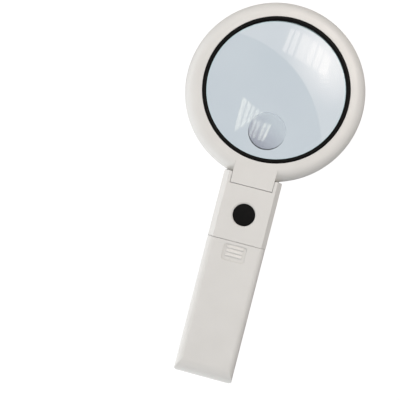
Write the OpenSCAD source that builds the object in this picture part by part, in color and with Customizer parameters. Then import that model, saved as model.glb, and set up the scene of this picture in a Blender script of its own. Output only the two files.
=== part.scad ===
// Low vision magnifier: a round lens head that folds back on a flat handle.
// The model lies on its back. X runs across it, +Y from the handle to the head, +Z out of its front face.
// The origin is on the table plane, under the middle of its length and width.

/* [Head] */
// Outside radius of the head
head_r = 56.9; // [56.6:0.1:57]
// Thickness of the head
head_t = 12; // [12:0.1:12.2]
// Radius of the clear opening in front of the lens
opening_r = 43.2; // [42.2:0.1:43.4]
// Width of the black ring that holds the lens
retainer_w = 2.7; // [2.5:0.1:2.8]
// Thickness of the main lens at its centre
lens_t = 8.6; // [8:0.1:9]
// Radius of the strong reading spot
spot_r = 11.7; // [9:0.1:12.5]
// Distance of the reading spot from the lens centre, towards the handle
spot_drop = 25.2; // [24:0.1:27]
// Angle about the lens centre by which the reading spot sits off the handle's line
spot_turn = 3; // [0:0.5:6]

/* [Handle] */
// Width of the handle
handle_w = 37; // [36.8:0.1:38]
// Thickness of the handle
handle_t = 18.3; // [18.3:0.1:18.6]
// Distance from the lens centre to the far end of the handle
handle_reach = 186.3; // [182:0.1:190]
// Height and width of the bevels beside the switch
bevel = 3.1; // [2:0.1:3.4]
// Radius along the front edges of the battery cover
edge_r = 4.3; // [3:0.1:4.3]
// Radius of the front face where it turns down to the far end
end_r = 12; // [10:0.5:12]
// Wall thickness of the shells
wall = 1.8; // [1.6:0.1:1.9]

/* [Hinge] */
// Width of the tab that joins the head to the handle
tab_w = 26.6; // [26.2:0.1:27]
// Radius of the hinge knuckle
knuckle_r = 3; // [2.8:0.1:3]
// Radius of the hinge pins
pin_r = 1.25; // [1:0.05:1.3]

/* [Switch] */
// Radius of the push button
button_r = 6.7; // [6:0.1:7.5]
// Travel of the push button
button_travel = 1.5; // [1:0.1:1.5]

/* [Battery cover] */
// Width of the thumb grip
grip_w = 14.4; // [11:0.1:16]
// Number of ribs in the thumb grip
grip_ribs = 3; // [3:1:5]

/* [Hidden] */
$fn = 96;
fine = 180; // facets round the head
spin = 1440; // facets round the large circles that shape the lenses
cut = 1; // how far a cutting shape passes through a face
fit = 0.02; // gap of a pressed or glued fit
running_fit = 0.05; // gap round a pin that turns
parting = 0.1; // gap between two shells that are screwed together
seam = 0.2; // gap at the edge of the battery cover
air = 0.3; // gap beside a part that moves
side_gap = 0.2; // gap on each side of the hinge tab

// Heights
front_z = handle_t;
head_back_z = front_z - head_t;
front_round_r = 7.8;
head_mid_z = front_z - front_round_r; // where the two shells of the head meet
back_round_r = head_mid_z - head_back_z;
split_z = 14;
nose_z = 6.3;
floor_z = wall;
under_front_z = front_z - wall;

// Places along the length
lens_y = (handle_reach - head_r) / 2;
end_y = lens_y - handle_reach;
ear_y = lens_y - 55.4;
hinge_y = lens_y - 59;
tab_y = lens_y - 62.3;
slot_y = tab_y - air;
bay_y = slot_y - wall;
lug_y = bay_y - 0.3;
button_y = lens_y - 80.2;
cover_y = lens_y - 97.75;
step_y = lens_y - 173;

// Handle outline
half_w = handle_w / 2;
inner_w = half_w - wall;
back_r = 2.5;
corner_r = 4;
rear_wall_y = cover_y - 1.2;
rear_wall_t = 1.4;

// Hinge: its knuckle is flush with the back, so the head folds flat behind the handle
hinge_z = knuckle_r;
tab_x = tab_w / 2;
ear_x = tab_x + side_gap;
bush_r = 2;
bush_l = 4.8;
pin_l = 7.4;
pin_x = ear_x + 2.9 - pin_l;
washer_t = 0.5;
washer_r = 2.6;
washer_sink = washer_t + 2 * running_fit - side_gap;
ear_wall = 1.4;
ear_nose_r = 5.8;
head_gap = 0.4;
ear_end_wall = 1.2;
ear_floor_z = 0.6;
lug_x = ear_x + 1.8;
lug_t = 0.5;

// Lens and its seat
retainer_r = opening_r + retainer_w;
lens_r = retainer_r - 0.05;
rim_t = 2.6;
bore_r = retainer_r + fit;
channel_in_r = bore_r + wall;
post_ring_r = channel_in_r + 2.8;
rim_top_z = front_z - 1.1;
rim_z = rim_top_z - rim_t;
gasket_t = 0.6;
seat_z = rim_z - gasket_t;
seat_in_r = opening_r + 1.05;
back_opening_r = opening_r + 3;
front_share = 0.35; // share of the lens's bulge that is on its front face
front_bulge = (lens_t - rim_t) * front_share;
back_bulge = lens_t - rim_t - front_bulge;
front_curve_r = curve_r(front_bulge);
back_curve_r = curve_r(back_bulge);

// Lamps in the back of the head
led_r = 2.5;
led_ring_r = channel_in_r + 3.05;
led_angles = [-110, -90, -70];
led_tip_z = head_back_z + 0.3;
board_t = 1.2;
board_z = under_front_z - 3.8;
board_half_angle = 29;
resistor_angles = [-100, -80];

// Screws
head_screw_angles = [40, 140, 205, 335];
screw_r = 1;
screw_head_r = 1.9;
screw_head_t = 1.3;
head_screw_l = 8;
handle_screw_l = 12;
screw_post_r = 2.7;
sink = 0.3;
post_z = 8;
handle_screw_x = 12.6;
handle_screw_ys = [lens_y - 68.3, lens_y - 94.2];

// Switch under the button
button_top_z = front_z + 0.4;
button_hole_r = button_r + air;
button_dish = 0.5;
button_flange_r = button_r + 1.2;
board_w = 21;
board_l = 17;
switch_board_z = 3;
switch_board_t = 1.2;
switch_w = 8.5;
switch_top_z = 9.5;
plunger_w = 3.2;
boss_r = 3.4;
boss_z = 12;
board_screw_x = 8;
board_screw_y = 6;

// Batteries
battery_r = 5.25;
battery_l = 44.5;
battery_pitch = 10.9;
battery_z = floor_z + 0.1 + battery_r;
nub_r = 1.9;
nub_l = 1;
plate_t = 0.5;
plate_reach = 4;
plate_x = battery_pitch + plate_reach;
upper_plate_y = rear_wall_y - rear_wall_t - plate_t;
spring_l = 5.7;
lower_plate_y = upper_plate_y - battery_l - spring_l;

// Wires
wire_r = 0.45;
wire_x = inner_w - 0.5;
wire_z = floor_z + 1;
board_wire_z = switch_board_z + switch_board_t + wire_r;

// Battery cover rails: each foot runs under a ledge of the rear shell
ledge_z = 12.9;
ledge_x = 15.6;
leg_x = 14.5;
leg_t = 0.8;
foot_x = 16.3;
foot_z = 11.6;
foot_t = 1;
rail_y0 = step_y + 1;
rail_y1 = rear_wall_y - rear_wall_t - 0.6;
brace_ys = [-112, -126, -140];
brace_t = 1.2;

// Thumb grip
rib_pitch = 2.5;
grip_l = grip_ribs * rib_pitch + 2.7;
grip_y1 = cover_y - 1.9;
grip_depth = 0.7;
grip_corner_r = 1.6;
rib_margin = 2;

shell_grey = [0.87, 0.86, 0.84];
black_plastic = [0.08, 0.08, 0.08];

// ---- Shared shapes ----

module sweep_y(y0, y1) {
    translate([0, y1, 0]) rotate([90, 0, 0]) linear_extrude(y1 - y0) children();
}

module sweep_x(x0, x1) {
    translate([x0, 0, 0]) rotate([90, 0, 90]) linear_extrude(x1 - x0) children();
}

module rise(z0, z1) {
    translate([0, 0, z0]) linear_extrude(z1 - z0) children();
}

module block(x0, x1, y0, y1, z0, z1) {
    translate([x0, y0, z0]) cube([x1 - x0, y1 - y0, z1 - z0]);
}

module both_sides() {
    children();
    mirror([1, 0, 0]) children();
}

module at_lens() {
    translate([0, lens_y, 0]) children();
}

// Radius of a lens face that bulges by a height across the opening
function curve_r(bulge) = (opening_r * opening_r + bulge * bulge) / (2 * bulge);

// What a rounding takes off the corner of a shape that lies to the lower left of the origin
module corner_waste(r) {
    difference() {
        translate([-r, -r]) square(r + cut);
        translate([-r, -r]) circle(r);
    }
}

// A rectangle with its four corners rounded
module rounded_plate(w, l, r) {
    difference() {
        square([w, l], center = true);
        for (sx = [-1, 1], sy = [-1, 1])
            scale([sx, sy]) translate([w / 2, l / 2]) corner_waste(r);
    }
}

// Cross-section of the handle, inset by a wall; the front edges are bevelled or rounded
module handle_section(inset, bevelled) {
    w = half_w - inset;
    top = front_z - inset;
    slope = half_w + front_z - bevel - inset * sqrt(2);
    difference() {
        translate([-w, inset]) square([2 * w, top - inset]);
        for (side = [-1, 1]) scale([side, 1]) {
            if (bevelled)
                polygon([[w + cut, slope - w - cut], [w + cut, top + cut], [slope - top - cut, top + cut]]);
            else
                translate([w, top]) corner_waste(edge_r - inset);
            translate([w, inset]) scale([1, -1]) corner_waste(back_r - inset);
        }
    }
}

// Side view of the handle's far end, inset by a wall
module handle_side(inset, y1) {
    difference() {
        translate([end_y + inset, inset]) square([y1 - end_y - inset, front_z - 2 * inset]);
        translate([end_y + inset, front_z - inset]) scale([-1, 1]) corner_waste(end_r - inset);
        translate([end_y + inset, inset]) scale([-1, -1]) corner_waste(back_r - inset);
    }
}

// Plan of the handle, inset by a wall
module handle_plan(inset, y1) {
    w = half_w - inset;
    difference() {
        translate([-w, end_y + inset]) square([2 * w, y1 - end_y - inset]);
        for (side = [-1, 1])
            scale([side, 1]) translate([w, end_y + inset]) scale([1, -1]) corner_waste(corner_r - inset);
    }
}

module handle_solid(inset, y1) {
    intersection() {
        sweep_y(end_y, y1) handle_section(inset, false);
        sweep_x(-half_w, half_w) handle_side(inset, y1);
        rise(0, front_z) handle_plan(inset, y1);
    }
}

// The part of the head's ring between two radii, on one side of its mid-plane, inset by a wall
module ring_half(r0, inset, side) {
    r = side > 0 ? front_round_r : back_round_r;
    intersection() {
        union() {
            translate([r0, head_back_z + inset]) square([head_r - r - r0, head_t - 2 * inset]);
            translate([head_r - r, head_mid_z]) circle(r - inset);
        }
        translate([r0, side > 0 ? head_mid_z : head_back_z]) square([head_r - r0, r]);
    }
}

module screw(length) {
    difference() {
        cylinder(r = screw_head_r, h = screw_head_t);
        for (turn = [0, 90]) rotate(turn) block(-1.2, 1.2, -0.25, 0.25, -cut, 0.6);
    }
    translate([0, 0, screw_head_t]) cylinder(r = screw_r, h = length - screw_head_t - 1);
    translate([0, 0, length - 1]) cylinder(r1 = screw_r, r2 = 0.4, h = 1);
}

// Insulated wire along straight runs
module wire(points, r) {
    for (i = [1 : len(points) - 1]) hull() {
        translate(points[i - 1]) sphere(r, $fn = 10);
        translate(points[i]) sphere(r, $fn = 10);
    }
}

// Coil spring that stands on z = 0 and tapers from radius r0 to r1
module coil(r0, r1, length, turns, wire_r) {
    steps = 16 * turns;
    sides = 6;
    points = [for (i = [0 : steps], j = [0 : sides - 1])
        let (t = i / steps, a = 360 * turns * t, b = 360 * j / sides,
            r = r0 + (r1 - r0) * t + wire_r * cos(b))
        [r * cos(a), r * sin(a), wire_r + (length - 2 * wire_r) * t + wire_r * sin(b)]];
    walls = [for (i = [0 : steps - 1], j = [0 : sides - 1])
        let (k = (j + 1) % sides)
        [i * sides + j, i * sides + k, (i + 1) * sides + k, (i + 1) * sides + j]];
    caps = [[for (j = [sides - 1 : -1 : 0]) j], [for (j = [0 : sides - 1]) steps * sides + j]];
    polyhedron(points, concat(walls, caps));
}

// ---- Head ----

module head_front_shell() {
    color(shell_grey) difference() {
        union() {
            at_lens() rotate_extrude($fn = fine) difference() {
                ring_half(bore_r, 0, 1);
                difference() {
                    ring_half(channel_in_r, wall, 1);
                    square([channel_in_r, front_z]);
                }
            }
            difference() {
                tab_block(head_mid_z, front_z);
                at_lens() cylinder(r = channel_in_r, h = front_z + cut, $fn = fine);
                tab_hollow(head_mid_z - cut, under_front_z);
                at_lens() rotate_extrude($fn = fine) ring_half(channel_in_r, wall, 1);
            }
            at_head_screws() rise(head_mid_z - 1, under_front_z + 0.4) circle(screw_post_r);
        }
        tab_hollow(head_mid_z - cut, under_front_z);
        at_head_screws() rise(head_mid_z - 2, head_back_z + head_screw_l + 1) circle(screw_r + fit);
    }
}

module tab_block(z0, z1) {
    block(-tab_x, tab_x, tab_y, lens_y - channel_in_r + 4, z0, z1);
}

module tab_hollow(z0, z1) {
    block(-tab_x + wall, tab_x - wall, tab_y + wall, lens_y - channel_in_r - 1.4, z0, z1);
}

module at_head_screws() {
    at_lens() for (a = head_screw_angles) rotate(a) translate([post_ring_r, 0, 0]) children();
}

module head_rear_shell() {
    color(shell_grey) difference() {
        union() {
            at_lens() rotate_extrude($fn = fine) difference() {
                union() {
                    ring_half(opening_r, 0, -1);
                    translate([opening_r, head_mid_z - cut])
                        square([retainer_r - opening_r, seat_z - head_mid_z + cut]);
                }
                polygon([[0, head_back_z], [back_opening_r, head_back_z], [seat_in_r, seat_z], [0, seat_z]]);
                difference() {
                    ring_half(channel_in_r, wall, -1);
                    square([channel_in_r, front_z]);
                }
                translate([head_r - wall - cut, head_mid_z - seam]) square([wall + 2 * cut, seam + cut]);
            }
            difference() {
                tab_block(head_back_z, head_mid_z);
                at_lens() cylinder(r = channel_in_r, h = front_z + cut, $fn = fine);
                tab_hollow(head_back_z + wall, head_mid_z + cut);
                at_lens() rotate_extrude($fn = fine) ring_half(channel_in_r, wall, -1);
            }
            at_head_screws() rise(head_back_z + 1, head_mid_z - 1) circle(screw_post_r);
            block(-tab_x, tab_x, hinge_y - knuckle_r, hinge_y + knuckle_r, hinge_z, head_back_z + 1);
            translate([-tab_x, hinge_y, hinge_z]) rotate([0, 90, 0]) cylinder(r = knuckle_r, h = tab_w);
        }
        tab_hollow(head_back_z + wall, head_mid_z + cut);
        at_head_screws() {
            rise(head_back_z - cut, head_back_z + sink + screw_head_t) circle(screw_head_r + 0.2);
            rise(head_back_z, head_mid_z) circle(screw_r + 0.1);
        }
        at_leds() rise(head_back_z - cut, head_back_z + wall + cut) circle(led_r + 0.1);
        both_sides() {
            translate([tab_x - bush_l - cut, hinge_y, hinge_z])
                rotate([0, 90, 0]) cylinder(r = bush_r + fit, h = bush_l + 2 * cut);
            translate([tab_x - bush_l - 0.5, hinge_y, hinge_z]) cylinder(r = 0.9, h = head_mid_z - hinge_z);
        }
    }
}

// A bead that stands a little proud of the front face
module lens_retaining_ring() {
    bead_r = retainer_w / 2 + 0.08;
    bead_z = rim_top_z + 0.25;
    color(black_plastic) at_lens() rotate_extrude($fn = fine) intersection() {
        translate([opening_r, rim_top_z]) square([retainer_w, 2 * bead_r]);
        translate([opening_r + retainer_w / 2, bead_z]) circle(bead_r);
    }
}

module lens_gasket() {
    color("dimgray") at_lens() rise(seat_z, rim_z) difference() {
        circle(lens_r, $fn = fine);
        circle(seat_in_r, $fn = fine);
    }
}

module main_lens() {
    flat_r = opening_r - 0.1;
    color([0.78, 0.86, 0.9, 0.45]) at_lens() rotate_extrude($fn = fine) {
        intersection() {
            translate([0, rim_top_z + front_bulge - front_curve_r]) circle(front_curve_r, $fn = spin);
            translate([0, rim_z - back_bulge + back_curve_r]) circle(back_curve_r, $fn = spin);
            translate([0, rim_z - lens_t]) square([flat_r, 3 * lens_t]);
        }
        translate([flat_r - 0.1, rim_z]) square([lens_r - flat_r + 0.1, rim_t]);
    }
}

// The reading spot is a small, strongly curved lens cemented to the back of the main lens
module reading_spot_lens() {
    spot_curve_r = 120;
    spot_t = 2.2;
    tilt = asin(spot_drop / back_curve_r);
    color([0.74, 0.82, 0.88, 0.5]) at_lens() rotate(spot_turn)
        translate([0, 0, rim_z - back_bulge + back_curve_r]) rotate([-tilt, 0, 0])
        translate([0, 0, -back_curve_r]) rotate_extrude() difference() {
            intersection() {
                translate([0, -2 * spot_t]) square([spot_r, 4 * spot_t]);
                translate([0, spot_curve_r - spot_t]) circle(spot_curve_r, $fn = spin);
            }
            translate([0, back_curve_r]) circle(back_curve_r + fit, $fn = spin);
        }
}

module at_leds() {
    at_lens() for (a = led_angles) rotate(a) translate([led_ring_r, 0, 0]) children();
}

module leds() {
    flange_r = 2.9;
    color([0.95, 0.97, 1]) at_leds() translate([0, 0, led_tip_z]) rotate_extrude() intersection() {
        union() {
            translate([0, led_r]) circle(led_r);
            translate([0, led_r]) square([led_r, board_z - led_tip_z - led_r]);
            translate([0, board_z - led_tip_z - 1]) square([flange_r, 1]);
        }
        square(head_t);
    }
}

module led_board() {
    color("darkgreen") at_lens() rotate(-90 - board_half_angle)
        rotate_extrude(angle = 2 * board_half_angle, $fn = fine)
        translate([channel_in_r + 0.3, board_z]) square([5.6, board_t]);
}

module led_resistors() {
    color("black") at_lens() for (a = resistor_angles) rotate(a)
        translate([led_ring_r, 0, 0]) block(-0.8, 0.8, -1.6, 1.6, board_z - 0.6, board_z);
}

// One wire from each hinge bush, up through the knuckle and along the tab to the lamp board
module head_wires() {
    x = tab_x - bush_l - 0.5;
    y = lens_y - post_ring_r;
    color("firebrick") both_sides() wire([[x, hinge_y, hinge_z], [x, hinge_y, board_z - 3],
        [x - 2, y, board_z - 2], [x - 3, y, board_z - wire_r]], wire_r);
}

module head_screws() {
    color("silver") at_head_screws() translate([0, 0, head_back_z + sink]) screw(head_screw_l);
}

// ---- Hinge ----

module along_hinge(x) {
    translate([x, hinge_y, hinge_z]) rotate([0, 90, 0]) children();
}

module hinge_bushes() {
    color("goldenrod") both_sides() along_hinge(tab_x - bush_l) rise(0, bush_l) difference() {
        circle(bush_r);
        circle(pin_r + running_fit);
    }
}

module hinge_pins() {
    color("silver") both_sides() along_hinge(pin_x) cylinder(r = pin_r, h = pin_l);
}

module hinge_washers() {
    color("silver") both_sides() along_hinge(tab_x + running_fit) rise(0, washer_t) difference() {
        circle(washer_r);
        circle(pin_r + running_fit);
    }
}

// A brass lug round the outer end of each pin, with a tail that the wire is soldered to
module pin_terminals() {
    color("goldenrod") both_sides() difference() {
        union() {
            along_hinge(lug_x) cylinder(r = pin_r + 1, h = lug_t);
            block(lug_x, lug_x + lug_t, lug_y, hinge_y - pin_r, hinge_z - 1, hinge_z + 1);
        }
        along_hinge(lug_x - cut) cylinder(r = pin_r + fit, h = lug_t + 2 * cut);
    }
}

// ---- Handle ----

// Side view of what the rear shell keeps below the seam, which steps down at the far end
module below_seam() {
    polygon([[end_y - cut, -cut], [end_y - cut, nose_z], [step_y, nose_z], [step_y, split_z],
        [ear_y + cut, split_z], [ear_y + cut, -cut]]);
}

module handle_rear_shell() {
    color(shell_grey) difference() {
        union() {
            difference() {
                intersection() {
                    handle_solid(0, ear_y);
                    sweep_x(-half_w - cut, half_w + cut) below_seam();
                }
                intersection() {
                    handle_solid(wall, bay_y);
                    rise(floor_z - cut, split_z + cut) handle_plan(wall, bay_y);
                }
            }
            both_sides() block(ledge_x, inner_w + fit, step_y, rear_wall_y, ledge_z, split_z);
            block(-inner_w - fit, inner_w + fit, rear_wall_y - rear_wall_t, rear_wall_y, 1, split_z);
            block(-inner_w - fit, inner_w + fit, lower_plate_y - plate_t - rear_wall_t,
                lower_plate_y - plate_t, 1, foot_z - 0.4);
            at_handle_screws() rise(1, post_z) circle(screw_post_r + 0.4);
            at_board_screws() rise(1, switch_board_z) circle(1.8);
            ear_noses();
        }
        ear_clearance();
        both_sides() {
            block(ear_x + ear_wall, inner_w, bay_y - cut, ear_y - ear_end_wall, ear_floor_z, split_z + cut);
            along_hinge(ear_x - cut) cylinder(r = washer_r + 0.1, h = cut + washer_sink);
            along_hinge(ear_x - cut) cylinder(r = pin_r + fit, h = 2 + cut);
        }
        at_handle_screws() {
            rise(-cut, sink + screw_head_t) circle(screw_head_r + 0.2);
            rise(0, post_z + cut) circle(screw_r + 0.1);
        }
        at_board_screws() rise(1.4, switch_board_z + cut) circle(0.6 + fit);
        wire_gaps();
    }
}

// The ears end in round noses under the head's ring, about the hinge
module ear_noses() {
    intersection() {
        sweep_y(hinge_y, hinge_y + ear_nose_r) handle_section(0, false);
        sweep_x(-half_w, half_w) intersection() {
            translate([hinge_y, hinge_z]) circle(ear_nose_r);
            translate([hinge_y, 0]) square(2 * ear_nose_r);
        }
    }
}

// The slot between the ears, the round of their outer corners and the hollow that clears the ring
module ear_clearance() {
    nose_top_z = hinge_z + sqrt(ear_nose_r * ear_nose_r - (ear_y - hinge_y) * (ear_y - hinge_y));
    block(-ear_x, ear_x, slot_y, lens_y, -cut, front_z + cut);
    both_sides() rise(-cut, front_z + cut) translate([half_w, hinge_y + ear_nose_r]) corner_waste(corner_r);
    at_lens() rise(nose_top_z, front_z + cut) circle(head_r + head_gap, $fn = fine);
}

// Slots in the bay's upper wall that the two battery wires pass through
module wire_gaps() {
    both_sides() block(inner_w - 1.7, inner_w, rear_wall_y - rear_wall_t - cut, rear_wall_y + cut,
        floor_z, wire_z + 2.7);
}

module at_handle_screws() {
    for (side = [-1, 1], y = handle_screw_ys) translate([side * handle_screw_x, y, 0]) children();
}

module handle_front_cover() {
    color(shell_grey) difference() {
        union() {
            difference() {
                sweep_y(cover_y + seam, ear_y) handle_section(0, true);
                block(-half_w - cut, half_w + cut, end_y, ear_y + cut, -cut, split_z + parting);
                sweep_y(cover_y - cut, bay_y) handle_section(wall, true);
            }
            at_handle_screws() rise(post_z + parting, under_front_z + 0.4) circle(screw_post_r);
        }
        ear_clearance();
        both_sides() block(ear_x + ear_wall, inner_w - 0.6, bay_y - cut, ear_y - ear_end_wall,
            split_z - cut, split_z + 1);
        translate([0, button_y, 0]) {
            rise(under_front_z - cut, front_z + cut) circle(button_hole_r);
            translate([0, 0, front_z - button_dish])
                cylinder(r1 = button_hole_r, r2 = button_hole_r + 1, h = button_dish + fit);
        }
        at_handle_screws() rise(post_z, handle_screw_l + 1.4) circle(screw_r + fit);
    }
}

module handle_screws() {
    color("silver") at_handle_screws() translate([0, 0, sink]) screw(handle_screw_l);
}

// ---- Switch ----

module at_button() {
    translate([0, button_y, 0]) children();
}

// Domed cap with a flange that keeps it inside the cover and a boss that grips the plunger
module push_button() {
    dome_r = 40;
    color(black_plastic) at_button() difference() {
        rotate_extrude() union() {
            intersection() {
                translate([0, under_front_z - 0.6]) square([button_r, 4]);
                translate([0, button_top_z - dome_r]) circle(dome_r, $fn = spin);
            }
            translate([0, under_front_z - air - 1.2]) square([button_flange_r, 1.2]);
            translate([0, boss_z]) square([boss_r, under_front_z - boss_z]);
        }
        block(-plunger_w / 2 - fit, plunger_w / 2 + fit, -plunger_w / 2 - fit, plunger_w / 2 + fit,
            boss_z - cut, boss_z + 2);
    }
}

module switch_plunger() {
    color("ivory") at_button() block(-plunger_w / 2, plunger_w / 2, -plunger_w / 2, plunger_w / 2,
        switch_top_z - 0.4, boss_z + 2 - fit);
}

module switch_spring() {
    color("silver") at_button() translate([0, 0, switch_top_z + 0.05])
        coil(2.75, 2.75, boss_z - switch_top_z - 0.1, 3, 0.22);
}

module switch_body() {
    color("darkslategray") at_button() difference() {
        block(-switch_w / 2, switch_w / 2, -switch_w / 2, switch_w / 2,
            switch_board_z + switch_board_t, switch_top_z);
        block(-plunger_w / 2 - 0.1, plunger_w / 2 + 0.1, -plunger_w / 2 - 0.1, plunger_w / 2 + 0.1,
            switch_top_z - 0.6 - button_travel, switch_top_z + cut);
    }
}

module at_board_screws() {
    at_button() for (side = [-1, 1]) translate([side * board_screw_x, side * board_screw_y, 0]) children();
}

module switch_board() {
    color("darkgreen") difference() {
        at_button() rise(switch_board_z, switch_board_z + switch_board_t) rounded_plate(board_w, board_l, 1);
        at_board_screws() rise(switch_board_z - cut, switch_board_z + switch_board_t + cut) circle(0.7);
    }
}

module board_screws() {
    top_z = switch_board_z + switch_board_t;
    color("silver") at_board_screws() {
        rise(1.5, top_z) circle(0.6);
        difference() {
            rise(top_z, top_z + 0.9) circle(1.3);
            for (turn = [0, 90]) rotate(turn) block(-0.9, 0.9, -0.2, 0.2, top_z + 0.4, top_z + 2);
        }
    }
}

// ---- Batteries ----

module battery_cover() {
    color(shell_grey) difference() {
        union() {
            intersection() {
                difference() {
                    handle_solid(0, cover_y);
                    handle_solid(wall, cover_y + cut);
                }
                sweep_x(-half_w - cut, half_w + cut) polygon([
                    [end_y - cut, nose_z + seam], [step_y - seam, nose_z + seam],
                    [step_y - seam, split_z + seam], [cover_y + cut, split_z + seam],
                    [cover_y + cut, front_z + cut], [end_y - cut, front_z + cut]]);
            }
            both_sides() {
                block(leg_x, leg_x + leg_t, rail_y0, rail_y1, foot_z, under_front_z + 0.3);
                block(leg_x, foot_x, rail_y0, rail_y1, foot_z, foot_z + foot_t);
            }
            for (y = brace_ys)
                block(-leg_x - fit, leg_x + fit, lens_y + y, lens_y + y + brace_t,
                    battery_z + battery_r + air, under_front_z + 0.3);
        }
        translate([0, grip_y1 - grip_l / 2, 0]) rise(front_z - grip_depth, front_z + cut)
            rounded_plate(grip_w, grip_l, grip_corner_r);
    }
    color(shell_grey) thumb_ribs();
}

// Ribs that rise towards the far end of the handle and drop off steeply
module thumb_ribs() {
    base = front_z - grip_depth;
    sweep_x(-grip_w / 2 + rib_margin, grip_w / 2 - rib_margin) for (i = [1 : grip_ribs])
        let (y = grip_y1 - i * rib_pitch)
        polygon([[y - 0.2, base - 0.3], [y, base + grip_depth - 0.1], [y + 0.5, base + grip_depth - 0.1],
            [y + 2, base], [y + 2, base - 0.3]]);
}

// A battery that lies along Y with its nub towards +Y
module battery(x) {
    color("steelblue") translate([x, 0, battery_z]) rotate([-90, 0, 0]) {
        cylinder(r = battery_r, h = battery_l - nub_l);
        translate([0, 0, battery_l - nub_l]) cylinder(r = nub_r, h = nub_l);
    }
}

module battery_1() {
    translate([0, upper_plate_y - battery_l, 0]) battery(-battery_pitch);
}

module battery_2() {
    translate([0, lower_plate_y + battery_l, 0]) mirror([0, 1, 0]) battery(0);
}

module battery_3() {
    translate([0, upper_plate_y - battery_l, 0]) battery(battery_pitch);
}

// Spring plates at both ends of the bay, which join the three batteries in a row
module battery_contacts() {
    z0 = battery_z - plate_reach;
    z1 = battery_z + plate_reach;
    color("silver") {
        block(-plate_x, -battery_pitch + plate_reach, upper_plate_y, upper_plate_y + plate_t, z0, z1);
        block(-plate_reach, plate_x, upper_plate_y, upper_plate_y + plate_t, z0, z1);
        block(-plate_x, plate_reach, lower_plate_y - plate_t, lower_plate_y, z0, z1);
        block(battery_pitch - plate_reach, plate_x, lower_plate_y - plate_t, lower_plate_y, z0, z1);
    }
}

module contact_springs() {
    color("silver") {
        for (side = [-1, 1]) translate([side * battery_pitch, lower_plate_y, battery_z])
            rotate([-90, 0, 0]) coil(3.4, 2, spring_l, 4, 0.35);
        translate([0, upper_plate_y, battery_z]) rotate([90, 0, 0]) coil(3.4, 2, spring_l, 4, 0.35);
    }
}

// From the first battery to the switch board, and from there to the left hinge pin
module positive_wire() {
    x = 5;
    board_end_y = button_y - board_l / 2;
    color("firebrick") {
        wire([[-plate_x - wire_r, upper_plate_y + plate_t - wire_r - fit, wire_z + 1.7],
            [-wire_x, rear_wall_y + 1, wire_z], [-wire_x, board_end_y - 1.1, wire_z],
            [-x, board_end_y - 1.1, board_wire_z], [-x, board_end_y + 1.2, board_wire_z]], wire_r);
        wire([[-x, button_y + 5.2, board_wire_z], [-wire_x, button_y + 8.2, board_wire_z],
            [-wire_x, bay_y - 1.8, wire_z], [-lug_x - lug_t / 2, lug_y - wire_r, hinge_z]], wire_r);
    }
}

// From the last battery along the side wall to the right hinge pin
module negative_wire() {
    color("black") wire([[plate_x + wire_r, lower_plate_y - plate_t + wire_r + fit, wire_z + 1.7],
        [wire_x, lower_plate_y + 1.2, wire_z], [wire_x, bay_y - 1.8, wire_z],
        [lug_x + lug_t / 2, lug_y - wire_r, hinge_z]], wire_r);
}

head_front_shell();
head_rear_shell();
lens_retaining_ring();
lens_gasket();
main_lens();
reading_spot_lens();
leds();
led_board();
led_resistors();
head_wires();
head_screws();
hinge_bushes();
hinge_pins();
hinge_washers();
pin_terminals();
handle_rear_shell();
handle_front_cover();
handle_screws();
push_button();
switch_plunger();
switch_spring();
switch_body();
switch_board();
board_screws();
battery_cover();
battery_1();
battery_2();
battery_3();
battery_contacts();
contact_springs();
positive_wire();
negative_wire();
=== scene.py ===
"""Looks of a low vision magnifier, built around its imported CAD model. Metres, the CAD model's own frame."""

from math import asin, cos, pi, radians, sin, sqrt

import bpy
from mathutils import Matrix, Vector


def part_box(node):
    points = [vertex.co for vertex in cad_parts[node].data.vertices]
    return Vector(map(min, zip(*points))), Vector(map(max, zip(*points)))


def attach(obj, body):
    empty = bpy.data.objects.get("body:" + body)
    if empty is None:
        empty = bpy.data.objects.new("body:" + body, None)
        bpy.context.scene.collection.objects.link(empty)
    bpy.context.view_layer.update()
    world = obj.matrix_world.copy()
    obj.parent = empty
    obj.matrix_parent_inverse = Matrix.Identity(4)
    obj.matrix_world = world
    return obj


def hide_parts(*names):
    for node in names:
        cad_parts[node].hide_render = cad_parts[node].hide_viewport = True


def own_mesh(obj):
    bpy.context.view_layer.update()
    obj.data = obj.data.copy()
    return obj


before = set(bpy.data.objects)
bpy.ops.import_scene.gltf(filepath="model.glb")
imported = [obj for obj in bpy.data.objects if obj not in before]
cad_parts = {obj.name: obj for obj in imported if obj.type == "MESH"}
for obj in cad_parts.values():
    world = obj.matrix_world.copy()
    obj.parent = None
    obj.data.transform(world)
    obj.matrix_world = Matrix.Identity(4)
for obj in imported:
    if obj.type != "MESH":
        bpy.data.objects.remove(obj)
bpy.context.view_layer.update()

# Camera: it looks almost straight at the front face, rolled so that the handle leans to the lower left
CAMERA_AIM = Vector((-0.0288, -0.0132, 0.012))
CAMERA_LEAN = Vector((0.033, -0.009, 1.0))
CAMERA_DISTANCE = 0.3107
CAMERA_ROLL = 0.252
CAMERA_LENS = 44.19
CAMERA_SENSOR = 36.0

# Stage: the floor is low enough for the head to fold down behind the handle
FLOOR_Z = -0.13
FLOOR_SIZE = 9.0
LIGHTS_Z = 1.0
WORLD_LIGHT = 0.78
WORLD_COLOUR = (0.98, 0.99, 1.0, 1)

# Driving dimensions, from the frame; a hairline keeps the lens's rim off the faces that hold it
HAIRLINE = 0.00003
LENS_LOW, LENS_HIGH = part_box("main_lens")
LENS_CENTRE = (LENS_LOW + LENS_HIGH) / 2
LENS_RADIUS = (LENS_HIGH.x - LENS_LOW.x) / 2
RIM_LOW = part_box("lens_gasket")[1].z + HAIRLINE
RIM_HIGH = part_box("lens_retaining_ring")[0].z - HAIRLINE
SPOT_LOW, SPOT_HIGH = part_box("reading_spot_lens")
SPOT_CENTRE = (SPOT_LOW + SPOT_HIGH) / 2
SPOT_RADIUS = (SPOT_HIGH.x - SPOT_LOW.x) / 2

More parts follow.
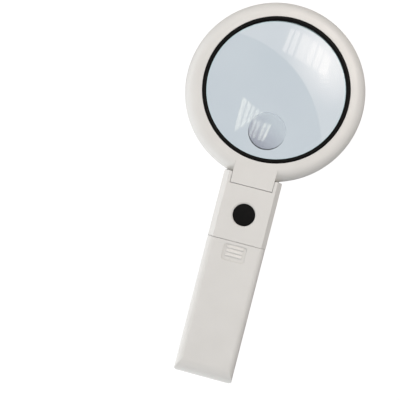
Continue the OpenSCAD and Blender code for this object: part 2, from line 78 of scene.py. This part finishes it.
# Dimensions that part.scad has too: the lens opening and the reading spot
OPENING_RADIUS = 0.0432
CURVED_RADIUS = OPENING_RADIUS - 0.0001
SPOT_DROP = 0.0252
SPOT_TURN = 3
SPOT_CURVE_RADIUS = 0.120
SPOT_THICKNESS = 0.0022
CEMENT = 0.00002

# Seen from the camera, the lens mirrors a stretch of ceiling: its size over the lens's, and its offset
CEILING_SCALE = 8.66
CEILING_SHIFT = Vector((0.0598, 0.2593, 0))


# ---------------------------------------------------------------- objects


def new_thing(name, points, faces, material):
    """A mesh object with one material, in the scene."""
    mesh = bpy.data.meshes.new(name)
    mesh.from_pydata(points, [], faces)
    mesh.materials.append(material)
    thing = bpy.data.objects.new(name, mesh)
    bpy.context.scene.collection.objects.link(thing)
    return thing


def new_stage_thing(name, points, faces, material):
    thing = new_thing(name, points, faces, material)
    return thing


def smooth(thing, sharp_from):
    """Smooth shading, except at edges sharper than an angle in degrees."""
    thing.data.shade_smooth()
    thing.data.set_sharp_from_angle(angle=radians(sharp_from))


# ---------------------------------------------------------------- node helpers


def blank_material(name):
    material = bpy.data.materials.new(name)
    material.use_nodes = True
    tree = material.node_tree
    for n in [n for n in tree.nodes if n.type != "OUTPUT_MATERIAL"]:
        tree.nodes.remove(n)
    return material, tree


def show(tree, shader):
    """Links a shader's socket to the material's surface."""
    output = next(n for n in tree.nodes if n.type == "OUTPUT_MATERIAL")
    tree.links.new(shader, output.inputs["Surface"])


def principled(name, **values):
    """A new material with one Principled shader; values are its sockets, with _ for a space."""
    material, tree = blank_material(name)
    shader = tree.nodes.new("ShaderNodeBsdfPrincipled")
    for socket, value in values.items():
        shader.inputs[socket.replace("_", " ")].default_value = value
    show(tree, shader.outputs[0])
    return material, tree, shader


def diffuse(tree, colour):
    shader = tree.nodes.new("ShaderNodeBsdfDiffuse")
    shader.inputs["Color"].default_value = colour
    return shader.outputs[0]


def emission(tree, colour, strength):
    """An emission shader; strength is a socket or a number."""
    shader = tree.nodes.new("ShaderNodeEmission")
    shader.inputs["Color"].default_value = colour
    if isinstance(strength, (int, float)):
        shader.inputs["Strength"].default_value = strength
    else:
        tree.links.new(strength, shader.inputs["Strength"])
    return shader.outputs[0]


def add_shaders(tree, first, *others):
    for shader in others:
        both = tree.nodes.new("ShaderNodeAddShader")
        tree.links.new(first, both.inputs[0])
        tree.links.new(shader, both.inputs[1])
        first = both.outputs[0]
    return first


def calculate(tree, operation, first, second=0.0):
    """One Math node; first and second are sockets or numbers."""
    node = tree.nodes.new("ShaderNodeMath")
    node.operation = operation
    for i, value in enumerate((first, second)):
        if isinstance(value, (int, float)):
            node.inputs[i].default_value = value
        else:
            tree.links.new(value, node.inputs[i])
    return node.outputs[0]


def multiply(tree, first, *others):
    for value in others:
        first = calculate(tree, "MULTIPLY", first, value)
    return first


def add(tree, first, *others):
    for value in others:
        first = calculate(tree, "ADD", first, value)
    return first


def lean(tree, value, other, slope):
    """value + slope * other."""
    return add(tree, value, multiply(tree, other, slope))


def place_of(tree, stretch=(1, 1, 1)):
    """Object coordinates in metres, stretched along each axis."""
    coordinates = tree.nodes.new("ShaderNodeTexCoord")
    mapping = tree.nodes.new("ShaderNodeMapping")
    mapping.inputs["Scale"].default_value = stretch
    tree.links.new(coordinates.outputs["Object"], mapping.inputs["Vector"])
    return mapping.outputs["Vector"]


def axes_of(tree, stretch=(1, 1, 1)):
    """The x, y and z of place_of."""
    parts = tree.nodes.new("ShaderNodeSeparateXYZ")
    tree.links.new(place_of(tree, stretch), parts.inputs[0])
    return parts.outputs


def offset_from(tree, centre):
    """How far x and y are from a centre."""
    parts = axes_of(tree)
    return [calculate(tree, "SUBTRACT", parts[i], centre[i]) for i in (0, 1)]


def distance_from(tree, centre):
    """Distance from the upright axis through a centre."""
    x, y = offset_from(tree, centre)
    return calculate(tree, "SQRT", add(tree, multiply(tree, x, x), multiply(tree, y, y)))


def noise(tree, size, detail=3.0, stretch=(1, 1, 1)):
    """Noise with features of the given size in metres."""
    texture = tree.nodes.new("ShaderNodeTexNoise")
    texture.inputs["Scale"].default_value = 1 / size
    texture.inputs["Detail"].default_value = detail
    tree.links.new(place_of(tree, stretch), texture.inputs["Vector"])
    return texture.outputs["Fac"]


def spread(tree, value, low, high, start=0.3, end=0.7):
    """Maps value from start..end to low..high."""
    node = tree.nodes.new("ShaderNodeMapRange")
    node.inputs["From Min"].default_value = start
    node.inputs["From Max"].default_value = end
    node.inputs["To Min"].default_value = low
    node.inputs["To Max"].default_value = high
    tree.links.new(value, node.inputs["Value"])
    return node.outputs["Result"]


def fade(tree, value, start, end):
    """0 at start and 1 at end, with a soft step between them; end may be the lower of the two."""
    node = tree.nodes.new("ShaderNodeMapRange")
    node.interpolation_type = "SMOOTHSTEP"
    rising = start < end
    node.inputs["From Min"].default_value = min(start, end)
    node.inputs["From Max"].default_value = max(start, end)
    node.inputs["To Min"].default_value = 0 if rising else 1
    node.inputs["To Max"].default_value = 1 if rising else 0
    tree.links.new(value, node.inputs["Value"])
    return node.outputs["Result"]


def bands(tree, value, spans, softness=0.2):
    """The sum of soft-edged bands, each from start to end with a brightness."""
    total = 0.0
    for start, end, strength in spans:
        on = fade(tree, value, start - softness, start + softness)
        off = fade(tree, value, end + softness, end - softness)
        total = add(tree, multiply(tree, on, off, strength), total)
    return total


def blend_colours(tree, share, first, second):
    """A colour between two, which are colours or sockets."""
    mix = tree.nodes.new("ShaderNodeMix")
    mix.data_type = "RGBA"
    tree.links.new(share, mix.inputs["Factor"])
    for name, colour in (("A", first), ("B", second)):
        socket = next(s for s in mix.inputs if s.name == name and s.type == "RGBA")
        if isinstance(colour, tuple):
            socket.default_value = (*colour, 1)
        else:
            tree.links.new(colour, socket)
    return next(s for s in mix.outputs if s.type == "RGBA")


def mottle(tree, texture, dark, light):
    """A colour that wanders between two with a noise."""
    return blend_colours(tree, spread(tree, texture, 0, 1), dark, light)


def paint(tree, shader, colour, roughness):
    """Gives a shader a colour socket and a roughness socket."""
    tree.links.new(colour, shader.inputs["Base Color"])
    tree.links.new(roughness, shader.inputs["Roughness"])


def raise_surface(tree, shader, height, depth, edge=0.0):
    """A bump of the given depth in metres, on edges rounded by the radius edge."""
    bump = tree.nodes.new("ShaderNodeBump")
    bump.inputs["Distance"].default_value = depth
    tree.links.new(height, bump.inputs["Height"])
    if edge > 0:
        bevel = tree.nodes.new("ShaderNodeBevel")
        bevel.samples = 6
        bevel.inputs["Radius"].default_value = edge
        tree.links.new(bevel.outputs[0], bump.inputs["Normal"])
    tree.links.new(bump.outputs[0], shader.inputs["Normal"])


# ---------------------------------------------------------------- camera and stage


def make_camera():
    back = CAMERA_LEAN.normalized()
    side = Vector((0, 1, 0)).cross(back).normalized()
    top = back.cross(side)
    right = cos(CAMERA_ROLL) * side + sin(CAMERA_ROLL) * top
    up = cos(CAMERA_ROLL) * top - sin(CAMERA_ROLL) * side
    data = bpy.data.cameras.new("camera")
    data.lens = CAMERA_LENS
    data.sensor_width = CAMERA_SENSOR
    data.clip_start = 0.01
    data.clip_end = 50
    camera = bpy.data.objects.new("camera", data)
    turn = Matrix((right, up, back)).transposed().to_4x4()
    camera.matrix_world = Matrix.Translation(CAMERA_AIM + back * CAMERA_DISTANCE) @ turn
    bpy.context.scene.collection.objects.link(camera)
    bpy.context.scene.camera = camera


def make_floor():
    """Pale paper that throws light up at the object, most of it from its -X and -Y sides."""
    least, extra, shown = 0.12, 0.95, 0.8
    material, tree = blank_material("floor_paper")
    path = tree.nodes.new("ShaderNodeLightPath")
    seen = calculate(tree, "MAXIMUM", path.outputs["Is Camera Ray"], path.outputs["Is Transmission Ray"])
    parts = axes_of(tree)
    bounce = fade(tree, lean(tree, parts[1], parts[0], 0.75), 0.0, -0.25)
    lit = add(tree, multiply(tree, bounce, extra), least)
    strength = calculate(tree, "MAXIMUM", lit, multiply(tree, seen, shown))
    paper = diffuse(tree, (0.3, 0.3, 0.3, 1))
    show(tree, add_shaders(tree, paper, emission(tree, (1, 1, 1, 1), strength)))
    half = FLOOR_SIZE / 2
    corners = [(-half, -half), (half, -half), (half, half), (-half, half)]
    new_stage_thing("floor", [(x, y, FLOOR_Z) for x, y in corners], [(0, 1, 2, 3)], material)


def make_flag():
    """A dark curved screen round the +X side, highest at its -Y end, which shades what faces it."""
    radius, low, steps = 0.55, FLOOR_Z + 0.005, 48
    first, last = radians(-82), radians(125)
    least, end_rise, side_rise = 0.09, 0.41, 0.07
    material, tree = blank_material("dark_flag")
    show(tree, diffuse(tree, (0.03, 0.03, 0.03, 1)))
    points = []
    for i in range(steps + 1):
        a = first + (last - first) * i / steps
        at_end = max(0, cos((a - first) * 1.15)) ** 2
        at_side = max(0, sin(a * 1.4))
        high = least + end_rise * at_end + side_rise * at_side
        points += [(radius * cos(a), radius * sin(a), z) for z in (low, high)]
    faces = [(2 * i, 2 * i + 1, 2 * i + 3, 2 * i + 2) for i in range(steps)]
    flag = new_stage_thing("dark_flag", points, faces, material)
    flag.visible_camera = False
    flag.visible_transmission = False


def window_light(tree, x, y):
    """Upright slats under a bowed top edge, in millimetres on the lens."""
    slats = [
        (-5.5, -2.8, 2.5),
        (-1.7, 1.6, 2.3),
        (3.4, 9.1, 2.0),
        (9.3, 10.9, 1.2),
        (11.1, 14.9, 2.1),
        (16.3, 20.0, 1.9),
        (21.2, 27.0, 1.8),
    ]
    lit = bands(tree, lean(tree, x, y, -0.125), slats)
    bowed = add(tree, y, multiply(tree, x, x, 0.0145))
    under = fade(tree, bowed, 45.4, 44.8)
    over = fade(tree, lean(tree, y, x, 0.29), 25.0, 27.2)
    return multiply(tree, lit, under, over)


def blind_light(tree, x, y):
    """A small leaning pane of level stripes beside the window's foot."""
    spans = [(-2.0, -0.4, 0.8), (1.3, 3.2, 1.4), (4.3, 6.4, 1.5), (7.6, 12.5, 1.5)]
    stripes = bands(tree, lean(tree, y, x, -0.4), spans)
    sides = bands(tree, lean(tree, x, y, 0.32), [(29.9, 37.5, 1.0)])
    return multiply(tree, stripes, sides)


def inner_light(tree, x, y):
    """The same window as the back faces of the two lenses mirror it, bent by the glass."""
    across = lean(tree, x, y, -0.15)
    lens_slats = [(2.0, 4.5, 6.0), (6.0, 8.6, 7.5), (10.1, 12.8, 7.5), (14.1, 17.3, 7.5), (18.7, 22.7, 7.5)]
    under = fade(tree, lean(tree, y, x, -1.4), 15.0, 12.5)
    over = fade(tree, lean(tree, y, x, 0.45), 23.5, 24.9)
    lens_part = multiply(tree, bands(tree, across, lens_slats), under, over)
    spot_slats = [(-8.0, -5.4, 6.5), (-4.2, -1.4, 6.5), (1.2, 3.6, 4.0), (5.2, 7.4, 4.0)]
    height = bands(tree, y, [(32.0, 56.0, 1.0)], 1.0)
    spot_part = multiply(tree, bands(tree, across, spot_slats), height)
    return add(tree, lens_part, spot_part)


def glow_light(tree, place):
    """A broad soft glow round the window."""
    brightness = 5.8
    blob = tree.nodes.new("ShaderNodeMapping")
    blob.vector_type = "TEXTURE"
    blob.inputs["Location"].default_value = (27.2, 30.2, 0)
    blob.inputs["Rotation"].default_value = (0, 0, radians(33))
    blob.inputs["Scale"].default_value = (31.2, 41.5, 1)
    tree.links.new(place, blob.inputs["Vector"])
    ball = tree.nodes.new("ShaderNodeTexGradient")
    ball.gradient_type = "SPHERICAL"
    tree.links.new(blob.outputs[0], ball.inputs["Vector"])
    return multiply(tree, fade(tree, ball.outputs["Fac"], 0, 1), brightness)


def beyond_arc(tree, place):
    """0 inside a wide circle and 1 outside it: the curved edge of what the lens mirrors."""
    arc = tree.nodes.new("ShaderNodeVectorMath")
    arc.operation = "DISTANCE"
    tree.links.new(place, arc.inputs[0])
    arc.inputs[1].default_value = (-43.5, -49.84, 0)
    return fade(tree, arc.outputs["Value"], 83.1, 84.3)


def ceiling_light():
    """A glow and a window beyond a curved edge, or only inner_light where it is seen through glass."""
    haze = 1.4
    material, tree = blank_material("ceiling")
    millimetres = (1000, 1000, 1000)
    x, y, _ = axes_of(tree, millimetres)
    place = place_of(tree, millimetres)
    panes = add(tree, window_light(tree, x, y), blind_light(tree, x, y))
    open_light = add(tree, glow_light(tree, place), haze, panes)
    path = tree.nodes.new("ShaderNodeLightPath")
    within = path.outputs["Is Transmission Ray"]
    outside = calculate(tree, "SUBTRACT", 1.0, within)
    outer = multiply(tree, open_light, beyond_arc(tree, place), outside)
    inner = multiply(tree, inner_light(tree, x, y), within)
    room = emission(tree, WORLD_COLOUR, WORLD_LIGHT)
    outer_glow = emission(tree, (1.12, 0.96, 0.84, 1), outer)
    inner_glow = emission(tree, (1.14, 0.98, 0.72, 1), inner)
    show(tree, add_shaders(tree, room, outer_glow, inner_glow))
    return material


def make_ceiling():
    """A glowing panel above the head, which the lens mirrors."""
    half = 0.062
    corners = [(-half, -half, 0), (half, -half, 0), (half, half, 0), (-half, half, 0)]
    panel = new_stage_thing("ceiling", corners, [(3, 2, 1, 0)], ceiling_light())
    place = LENS_CENTRE + CEILING_SHIFT
    panel.location = (place.x, place.y, LIGHTS_Z)
    panel.scale = (CEILING_SCALE, CEILING_SCALE, CEILING_SCALE)
    panel.visible_camera = False
    panel.visible_shadow = False


def area_light(name, place, width, length, radiance):
    """A flat light that faces the origin, with a face of the given radiance."""
    data = bpy.data.lights.new(name, "AREA")
    data.shape = "RECTANGLE"
    data.size = width
    data.size_y = length
    data.energy = radiance * pi * width * length
    light = bpy.data.objects.new(name, data)
    turn = Vector(place).normalized().to_track_quat("Z", "Y").to_matrix().to_4x4()
    light.matrix_world = Matrix.Translation(place) @ turn
    light.visible_camera = False
    bpy.context.scene.collection.objects.link(light)


def make_lights():
    make_ceiling()
    make_flag()
    area_light("left_softbox", (-1.2, 0.1, 0.3), width=1.4, length=0.7, radiance=0.9)
    area_light("low_softbox", (-0.65, -1.0, 0.06), width=0.9, length=0.3, radiance=2.4)
    world = bpy.data.worlds.new("studio")
    world.use_nodes = True
    background = world.node_tree.nodes["Background"]
    background.inputs["Color"].default_value = WORLD_COLOUR
    background.inputs["Strength"].default_value = WORLD_LIGHT
    bpy.context.scene.world = world
    bpy.context.scene.view_settings.view_transform = "Standard"


# ---------------------------------------------------------------- materials


def shell_plastic():
    """White satin ABS: a faint cloudiness, a fine moulded grain and softened edges."""
    material, tree, shader = principled("shell_plastic", IOR=1.5, Coat_Weight=0.12, Coat_Roughness=0.12)
    colour = mottle(tree, noise(tree, 0.018, 4), (0.686, 0.678, 0.655), (0.711, 0.704, 0.682))
    paint(tree, shader, colour, spread(tree, noise(tree, 0.006, 5), 0.34, 0.42))
    raise_surface(tree, shader, noise(tree, 0.00045, 2), 0.000012, edge=0.00035)
    return material


def ring_plastic():
    """Black plastic with turning marks round the lens."""
    material, tree, shader = principled("ring_plastic", IOR=1.5, Specular_IOR_Level=0.08)
    mark_pitch, mark_height = 0.0004, 0.3
    turning = calculate(tree, "SINE", multiply(tree, distance_from(tree, LENS_CENTRE), 2 * pi / mark_pitch))
    grain = noise(tree, 0.0008, 3)
    colour = mottle(tree, grain, (0.0022, 0.0022, 0.0022), (0.0038, 0.0037, 0.0035))
    paint(tree, shader, colour, spread(tree, grain, 0.24, 0.32))
    raise_surface(tree, shader, lean(tree, grain, turning, mark_height), 0.000006, edge=0.00025)
    return material


def button_rubber():
    """Matte black soft-touch cap with a fine stipple."""
    material, tree, shader = principled("button_rubber", IOR=1.45, Specular_IOR_Level=0.12)
    stipple = noise(tree, 0.00035, 2)
    colour = mottle(tree, noise(tree, 0.003, 3), (0.0026, 0.0026, 0.0026), (0.0042, 0.004, 0.0038))
    paint(tree, shader, colour, spread(tree, stipple, 0.5, 0.65))
    raise_surface(tree, shader, stipple, 0.00002, edge=0.0003)
    return material


def seal_rubber():
    """Matte dark rubber."""
    material, tree, shader = principled("seal_rubber", IOR=1.5)
    grain = noise(tree, 0.0006, 3)
    colour = mottle(tree, grain, (0.012, 0.012, 0.013), (0.022, 0.022, 0.024))
    paint(tree, shader, colour, spread(tree, grain, 0.6, 0.75))
    raise_surface(tree, shader, grain, 0.00003)
    return material


def clear_plastic(name, colour_with_painted_shade):
    """Clear acrylic coloured by the given colour function, whose darkening is painted shade. Light from lamps
    passes straight through.
    """
    material, tree, shader = principled(name, IOR=1.49, Transmission_Weight=1.0, Roughness=0.0)
    tree.links.new(colour_with_painted_shade(tree), shader.inputs["Base Color"])
    clear = tree.nodes.new("ShaderNodeBsdfTransparent")
    clear.inputs["Color"].default_value = (0.9, 0.93, 0.95, 1)
    path = tree.nodes.new("ShaderNodeLightPath")
    mix = tree.nodes.new("ShaderNodeMixShader")
    tree.links.new(path.outputs["Is Shadow Ray"], mix.inputs[0])
    tree.links.new(shader.outputs[0], mix.inputs[1])
    tree.links.new(clear.outputs[0], mix.inputs[2])
    show(tree, mix.outputs[0])
    return material


def lens_colour_and_painted_shade(tree):
    """Pale blue-grey painted shade, standing in for the dim room seen through the lens, with a trace of cyan
    towards the rim.
    """
    rim = spread(tree, distance_from(tree, LENS_CENTRE), 0, 1, OPENING_RADIUS - 0.0008, OPENING_RADIUS)
    # painted shade: the blue-grey body darkens whatever the lens shows behind it
    body = mottle(tree, noise(tree, 0.03, 3), (0.517, 0.575, 0.625), (0.538, 0.595, 0.64))
    return blend_colours(tree, rim, body, (0.50, 0.63, 0.655))


def spot_painted_shade(tree):
    """Painted shade: mauve-grey on the -X and -Y side, nearly clear on the other, a dark crescent standing in
    for what the spot bends into view.
    """
    across, along = offset_from(tree, SPOT_CENTRE)
    slope = add(tree, multiply(tree, across, 0.55), multiply(tree, along, 0.83))
    # painted shade grows from the clear side towards the -X and -Y side
    share = spread(tree, slope, 0, 1, -SPOT_RADIUS, 0.6 * SPOT_RADIUS)
    return blend_colours(tree, share, (0.59, 0.565, 0.62), (0.97, 0.97, 0.975))


def led_epoxy():
    """Water-clear lamp bodies that turn yellow towards their board."""
    tip_z, board_z = 0.0075, 0.012
    material, tree, shader = principled("led_epoxy", IOR=1.54, Transmission_Weight=0.35)
    depth = spread(tree, axes_of(tree)[2], 0, 1, tip_z, board_z)
    pale = mottle(tree, noise(tree, 0.0012, 2), (0.86, 0.88, 0.86), (0.93, 0.94, 0.93))
    colour = blend_colours(tree, depth, pale, (0.92, 0.80, 0.34))
    paint(tree, shader, colour, spread(tree, noise(tree, 0.002, 3), 0.06, 0.14))
    return material


def circuit_board():
    """Green solder mask over copper tracks."""
    track_pitch, track_width = 0.006, 0.035
    material, tree, shader = principled("circuit_board", IOR=1.5)
    tracks = tree.nodes.new("ShaderNodeTexBrick")
    tracks.inputs["Scale"].default_value = 1 / track_pitch
    tracks.inputs["Mortar Size"].default_value = track_width
    tree.links.new(place_of(tree), tracks.inputs["Vector"])
    grain = noise(tree, 0.0015, 3)
    mask = mottle(tree, grain, (0.012, 0.105, 0.04), (0.018, 0.135, 0.05))
    colour = blend_colours(tree, tracks.outputs["Fac"], mask, (0.05, 0.25, 0.10))
    paint(tree, shader, colour, spread(tree, grain, 0.28, 0.4))
    raise_surface(tree, shader, tracks.outputs["Fac"], 0.00003)
    return material


def battery_jacket():
    """A plain cell wrap: a dark sleeve with a copper band at its +Y end."""
    band_length, band_metal = 0.0125, 0.75
    material, tree, shader = principled("battery_jacket", IOR=1.5)
    band_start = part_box("battery_1")[1].y - band_length
    band = calculate(tree, "GREATER_THAN", axes_of(tree)[1], band_start)
    grain = noise(tree, 0.002, 3, (1, 0.1, 1))
    sleeve = mottle(tree, grain, (0.012, 0.013, 0.016), (0.02, 0.021, 0.025))
    copper = mottle(tree, grain, (0.46, 0.20, 0.07), (0.55, 0.25, 0.09))
    paint(tree, shader, blend_colours(tree, band, sleeve, copper), spread(tree, grain, 0.2, 0.3))
    tree.links.new(multiply(tree, band, band_metal), shader.inputs["Metallic"])
    raise_surface(tree, shader, grain, 0.00001)
    return material


def small_plastic(name, dark, light, low, high):
    """A moulded plastic in one hue, from dark to light, with a roughness from low to high."""
    material, tree, shader = principled(name, IOR=1.5)
    grain = noise(tree, 0.0009, 3)
    paint(tree, shader, mottle(tree, grain, dark, light), spread(tree, noise(tree, 0.003, 3), low, high))
    raise_surface(tree, shader, grain, 0.000012)
    return material


def plated_metal(name, dark, light, low, high):
    """A metal with fine marks, from dark to light, with a roughness from low to high."""
    material, tree, shader = principled(name, Metallic=1.0)
    marks = noise(tree, 0.0005, 4)
    paint(tree, shader, mottle(tree, noise(tree, 0.004, 3), dark, light), spread(tree, marks, low, high))
    raise_surface(tree, shader, marks, 0.000006)
    return material


def steel(name):
    return plated_metal(name, (0.48, 0.49, 0.50), (0.58, 0.59, 0.60), 0.22, 0.36)


def dress_nodes():
    """Gives each CAD node the material for its slot in the record."""
    made = {
        "shell": shell_plastic(),
        "black_ring": ring_plastic(),
        "black_button": button_rubber(),
        "rubber_seal": seal_rubber(),
        "lens": clear_plastic("lens_acrylic", lens_colour_and_painted_shade),
        "led_epoxy": led_epoxy(),
        "circuit_board": circuit_board(),
        "steel": steel("steel"),
        "battery_jacket": battery_jacket(),
    }
    plastics = {
        "component_black": ((0.010, 0.010, 0.011), (0.02, 0.02, 0.021), 0.35, 0.5),
        "plunger_white": ((0.72, 0.72, 0.70), (0.78, 0.78, 0.76), 0.35, 0.45),
        "wire_red": ((0.42, 0.012, 0.010), (0.52, 0.02, 0.016), 0.3, 0.42),
        "wire_black": ((0.010, 0.010, 0.010), (0.02, 0.02, 0.02), 0.3, 0.42),
    }
    metals = {
        "nickel": ((0.60, 0.57, 0.52), (0.70, 0.67, 0.62), 0.16, 0.3),
        "brass": ((0.62, 0.42, 0.16), (0.74, 0.52, 0.22), 0.2, 0.34),
    }
    made |= {name: small_plastic(name, *looks) for name, looks in plastics.items()}
    made |= {name: plated_metal(name, *looks) for name, looks in metals.items()}
    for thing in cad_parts.values():
        for slot in thing.material_slots:
            slot.material = made[slot.material.name]


# ---------------------------------------------------------------- pieces that replace CAD nodes


def lathe(name, profile, matrix, material, steps):
    """A smooth solid turned from a profile of (radius, height) points that starts and ends on its axis."""
    points, rows = [], []
    for radius, height in profile:
        if radius == 0:
            rows.append([len(points)] * steps)
            points.append(matrix @ Vector((0, 0, height)))
            continue
        rows.append(list(range(len(points), len(points) + steps)))
        for i in range(steps):
            a = 2 * pi * i / steps
            points.append(matrix @ Vector((radius * cos(a), radius * sin(a), height)))
    faces = []
    for upper, lower in zip(rows, rows[1:]):
        for i in range(steps):
            j = (i + 1) % steps
            corners = [upper[i], lower[i], lower[j], upper[j]]
            faces.append(tuple(dict.fromkeys(corners)))
    thing = new_thing(name, points, faces, material)
    smooth(thing, 20)
    return thing


def coil(name, centre, heights, radius, wire, turns, material):
    """A wire wound into a helix between two heights; radius is that of its turns, and wire its own."""
    sides, steps = 12, 32 * turns
    low, high = heights
    points, faces = [], []
    for i in range(steps + 1):
        turn = 2 * pi * turns * i / steps
        level = low + wire + (high - low - 2 * wire) * i / steps
        for j in range(sides):
            a = 2 * pi * j / sides
            reach = radius + wire * cos(a)
            x, y = centre.x + reach * cos(turn), centre.y + reach * sin(turn)
            points.append((x, y, level + wire * sin(a)))
    for i in range(steps):
        for j in range(sides):
            k = (j + 1) % sides
            faces.append((i * sides + j, (i + 1) * sides + j, (i + 1) * sides + k, i * sides + k))
    faces += [tuple(range(sides)), tuple(steps * sides + j for j in reversed(range(sides)))]
    thing = new_thing(name, points, faces, material)
    smooth(thing, 50)
    return thing


def cap(radius, bulge_radius, steps=24):
    """(radius, drop) points over a spherical face, from its axis out; drop is how far it falls away."""
    radii = [radius * i / steps for i in range(steps + 1)]
    return [(r, bulge_radius - sqrt(bulge_radius**2 - r**2)) for r in radii]


def curve_radius(bulge):
    """Radius of a lens face that bulges by a height across the opening."""
    return (OPENING_RADIUS**2 + bulge**2) / (2 * bulge)


def make_main_lens():
    """The main lens with true optical faces, in place of its faceted CAD solid."""
    front_radius = curve_radius(LENS_HIGH.z - RIM_HIGH)
    back_radius = curve_radius(RIM_LOW - LENS_LOW.z)
    front = [(r, LENS_HIGH.z - drop) for r, drop in cap(CURVED_RADIUS, front_radius)]
    back = [(r, LENS_LOW.z + drop) for r, drop in cap(CURVED_RADIUS, back_radius)]
    rim = [
        (CURVED_RADIUS, RIM_HIGH),
        (LENS_RADIUS, RIM_HIGH),
        (LENS_RADIUS, RIM_LOW),
        (CURVED_RADIUS, RIM_LOW),
    ]
    axis = Matrix.Translation((LENS_CENTRE.x, LENS_CENTRE.y, 0))
    acrylic = clear_plastic("lens_acrylic", lens_colour_and_painted_shade)
    lens = lathe("main_lens_clear", front + rim + back[::-1], axis, acrylic, steps=144)
    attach(lens, "head")
    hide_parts("main_lens")


def make_spot_lens():
    """The reading spot, cemented to the back of the main lens and square to it."""
    back_radius = curve_radius(RIM_LOW - LENS_LOW.z)
    centre = Vector((LENS_CENTRE.x, LENS_CENTRE.y, LENS_LOW.z + back_radius))
    tilt = Matrix.Rotation(-asin(SPOT_DROP / back_radius), 4, "X")
    turn = Matrix.Rotation(radians(SPOT_TURN), 4, "Z")
    axis = Matrix.Translation(centre) @ turn @ tilt @ Matrix.Translation((0, 0, -back_radius))
    upper = [(r, drop - CEMENT) for r, drop in cap(SPOT_RADIUS, back_radius + CEMENT)]
    lower = [(r, drop - SPOT_THICKNESS) for r, drop in cap(SPOT_RADIUS, SPOT_CURVE_RADIUS)]
    acrylic = clear_plastic("spot_acrylic", spot_painted_shade)
    lens = lathe("reading_spot_clear", upper + lower[::-1], axis, acrylic, steps=96)
    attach(lens, "head")
    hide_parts("reading_spot_lens")


def make_switch_spring():
    """The spring under the button as a round-wire coil."""
    low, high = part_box("switch_spring")
    wire = 0.00022
    radius = (high.x - low.x) / 2 - wire
    centre = (low + high) / 2
    spring = coil("switch_spring_coil", centre, (low.z, high.z), radius, wire, 3, steel("spring_steel"))
    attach(spring, "handle")
    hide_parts("switch_spring")
    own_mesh(spring)


# ---------------------------------------------------------------- build


make_camera()
make_floor()
make_lights()
dress_nodes()
make_main_lens()
make_spot_lens()
make_switch_spring()
